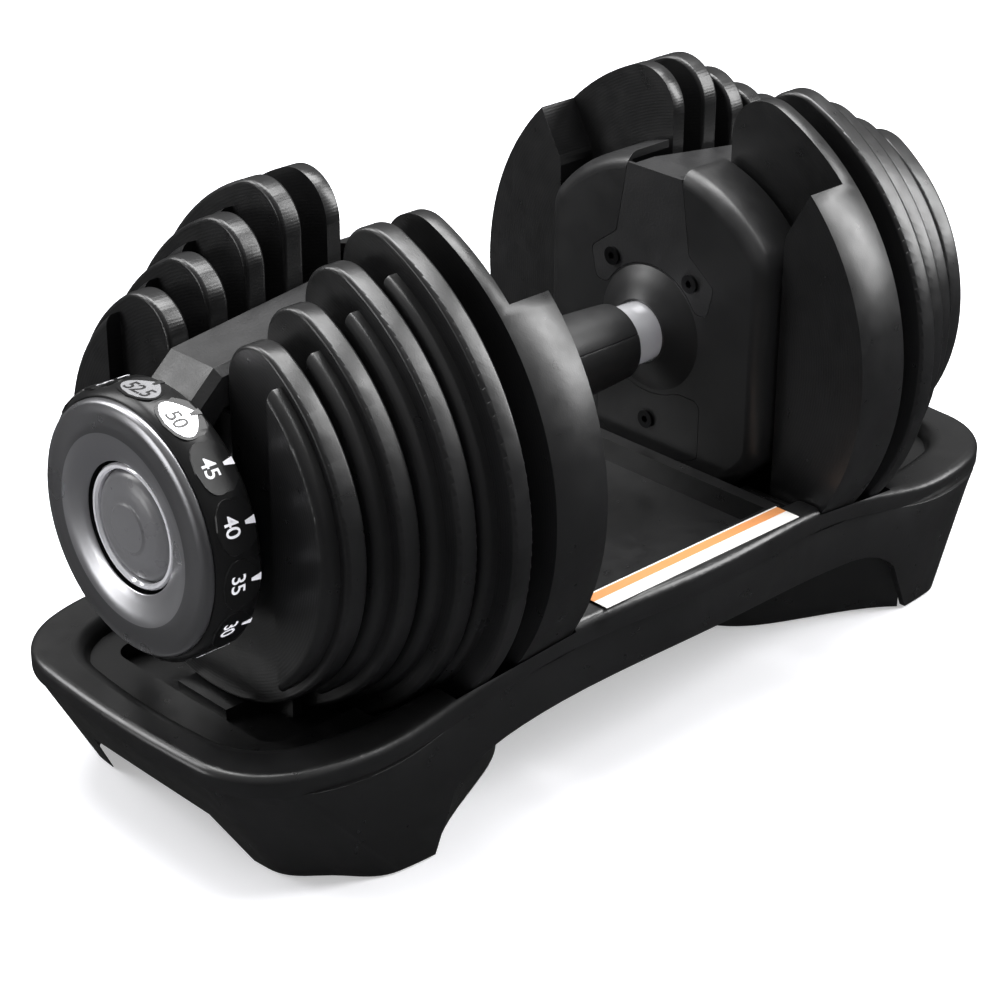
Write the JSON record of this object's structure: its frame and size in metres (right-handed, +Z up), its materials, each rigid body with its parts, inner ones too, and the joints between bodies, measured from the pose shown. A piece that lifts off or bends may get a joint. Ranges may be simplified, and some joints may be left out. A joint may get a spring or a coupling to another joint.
{
  "type": "adjustable dumbbell",
  "caption": "Dial-select adjustable dumbbell with nested cast plates at both ends, resting in an arched black tray with wells for the plates.",
  "frame": {"origin": "on the surface the tray stands on, below the middle of the handle", "axes": "+X along the handle, +Z up, +Y across the tray"},
  "size_m": [0.418, 0.204, 0.2175],
  "materials": {
    "cast_plate": "matt black coating with a fine grain",
    "dark_plastic": "satin moulded",
    "plain_steel": "turned and plain",
    "gunmetal_face": "satin, finely turned",
    "dial_plastic": "semi-gloss black with white numbers",
    "chrome": "polished",
    "grey_cap": "smooth grey",
    "screw_steel": "blackened",
    "disc_plastic": "fine-textured",
    "grip_rubber": "soft, fine-grained",
    "tray_plastic": "fine-textured",
    "foot_rubber": "matt",
    "label_paper": "gloss, white with an orange stripe"
  },
  "bodies": {
    "tray": {"tray_base": "tray_plastic", "tray_deck": "tray_plastic", "foot_pads": "foot_rubber", "deck_screws": "plain_steel", "deck_label": "label_paper", "lock_posts": "dark_plastic"},
    "handle": {"handle_axle": "plain_steel", "grip_upper": "grip_rubber", "grip_lower": "grip_rubber", "collar_left": "chrome", "end_disc_left": "disc_plastic", "bridge_left": "disc_plastic", "lock_cover_left": "disc_plastic", "disc_screws_left": "screw_steel", "lock_spring_left": "plain_steel", "axle_bolt_left": "plain_steel", "click_spring_left": "plain_steel", "collar_right": "chrome", "end_disc_right": "disc_plastic", "bridge_right": "disc_plastic", "lock_cover_right": "disc_plastic", "disc_screws_right": "screw_steel", "lock_spring_right": "plain_steel", "axle_bolt_right": "plain_steel", "click_spring_right": "plain_steel"},
    "dial_left": {"dial_left": "dial_plastic", "dial_face_left": "gunmetal_face", "hub_ring_left": "chrome", "hub_cap_left": "grey_cap", "selector_sleeve_left": "plain_steel", "lock_ring_left": "plain_steel", "selector_disc_left_1": "dark_plastic", "selector_disc_left_2": "dark_plastic", "selector_disc_left_3": "dark_plastic", "selector_disc_left_4": "dark_plastic", "selector_disc_left_5": "dark_plastic"},
    "lock_left": {"lock_slide_left": "plain_steel"},
    "plate_left_1": {"plate_left_1": "cast_plate"},
    "plate_left_2": {"plate_left_2": "cast_plate"},
    "plate_left_3": {"plate_left_3": "cast_plate"},
    "plate_left_4": {"plate_left_4": "cast_plate"},
    "plate_left_5": {"plate_left_5": "cast_plate"},
    "dial_right": {"dial_right": "dial_plastic", "dial_face_right": "gunmetal_face", "hub_ring_right": "chrome", "hub_cap_right": "grey_cap", "selector_sleeve_right": "plain_steel", "lock_ring_right": "plain_steel", "selector_disc_right_1": "dark_plastic", "selector_disc_right_2": "dark_plastic", "selector_disc_right_3": "dark_plastic", "selector_disc_right_4": "dark_plastic", "selector_disc_right_5": "dark_plastic"},
    "lock_right": {"lock_slide_right": "plain_steel"},
    "plate_right_1": {"plate_right_1": "cast_plate"},
    "plate_right_2": {"plate_right_2": "cast_plate"},
    "plate_right_3": {"plate_right_3": "cast_plate"},
    "plate_right_4": {"plate_right_4": "cast_plate"},
    "plate_right_5": {"plate_right_5": "cast_plate"}
  },
  "joints": [
    {"name": "handle_lift", "type": "slide", "parent": "tray", "child": "handle", "axis": [0, 0, 1], "range_m": [0, 0.26]},
    {"name": "dial_turn_left", "type": "hinge", "parent": "handle", "child": "dial_left", "pos_m": [-0.18, 0, 0.122], "axis": [1, 0, 0], "continuous": true},
    {"name": "lock_drop_left", "type": "slide", "parent": "handle", "child": "lock_left", "axis": [0, 0, 1], "range_m": [-0.003, 0], "deforming": ["lock_spring_left"]},
    {"name": "plate_lift_left_1", "type": "slide", "parent": "tray", "child": "plate_left_1", "axis": [0, 0, 1], "range_m": [0, 0.26]},
    {"name": "plate_lift_left_2", "type": "slide", "parent": "tray", "child": "plate_left_2", "axis": [0, 0, 1], "range_m": [0, 0.26]},
    {"name": "plate_lift_left_3", "type": "slide", "parent": "tray", "child": "plate_left_3", "axis": [0, 0, 1], "range_m": [0, 0.26]},
    {"name": "plate_lift_left_4", "type": "slide", "parent": "tray", "child": "plate_left_4", "axis": [0, 0, 1], "range_m": [0, 0.26]},
    {"name": "plate_lift_left_5", "type": "slide", "parent": "tray", "child": "plate_left_5", "axis": [0, 0, 1], "range_m": [0, 0.26]},
    {"name": "dial_turn_right", "type": "hinge", "parent": "handle", "child": "dial_right", "pos_m": [0.18, 0, 0.122], "axis": [1, 0, 0], "continuous": true},
    {"name": "lock_drop_right", "type": "slide", "parent": "handle", "child": "lock_right", "axis": [0, 0, 1], "range_m": [-0.003, 0], "deforming": ["lock_spring_right"]},
    {"name": "plate_lift_right_1", "type": "slide", "parent": "tray", "child": "plate_right_1", "axis": [0, 0, 1], "range_m": [0, 0.26]},
    {"name": "plate_lift_right_2", "type": "slide", "parent": "tray", "child": "plate_right_2", "axis": [0, 0, 1], "range_m": [0, 0.26]},
    {"name": "plate_lift_right_3", "type": "slide", "parent": "tray", "child": "plate_right_3", "axis": [0, 0, 1], "range_m": [0, 0.26]},
    {"name": "plate_lift_right_4", "type": "slide", "parent": "tray", "child": "plate_right_4", "axis": [0, 0, 1], "range_m": [0, 0.26]},
    {"name": "plate_lift_right_5", "type": "slide", "parent": "tray", "child": "plate_right_5", "axis": [0, 0, 1], "range_m": [0, 0.26]}
  ],
  "couplings": [
    {"joint": "lock_drop_left", "follows": "handle_lift", "ratio": -0.011538},
    {"joint": "plate_lift_left_1", "follows": "handle_lift", "ratio": 1},
    {"joint": "plate_lift_left_2", "follows": "handle_lift", "ratio": 1},
    {"joint": "plate_lift_left_3", "follows": "handle_lift", "ratio": 1},
    {"joint": "plate_lift_left_4", "follows": "handle_lift", "ratio": 1},
    {"joint": "plate_lift_left_5", "follows": "handle_lift", "ratio": 1},
    {"joint": "lock_drop_right", "follows": "handle_lift", "ratio": -0.011538},
    {"joint": "plate_lift_right_1", "follows": "handle_lift", "ratio": 1},
    {"joint": "plate_lift_right_2", "follows": "handle_lift", "ratio": 1},
    {"joint": "plate_lift_right_3", "follows": "handle_lift", "ratio": 1},
    {"joint": "plate_lift_right_4", "follows": "handle_lift", "ratio": 1},
    {"joint": "plate_lift_right_5", "follows": "handle_lift", "ratio": 1}
  ]
}
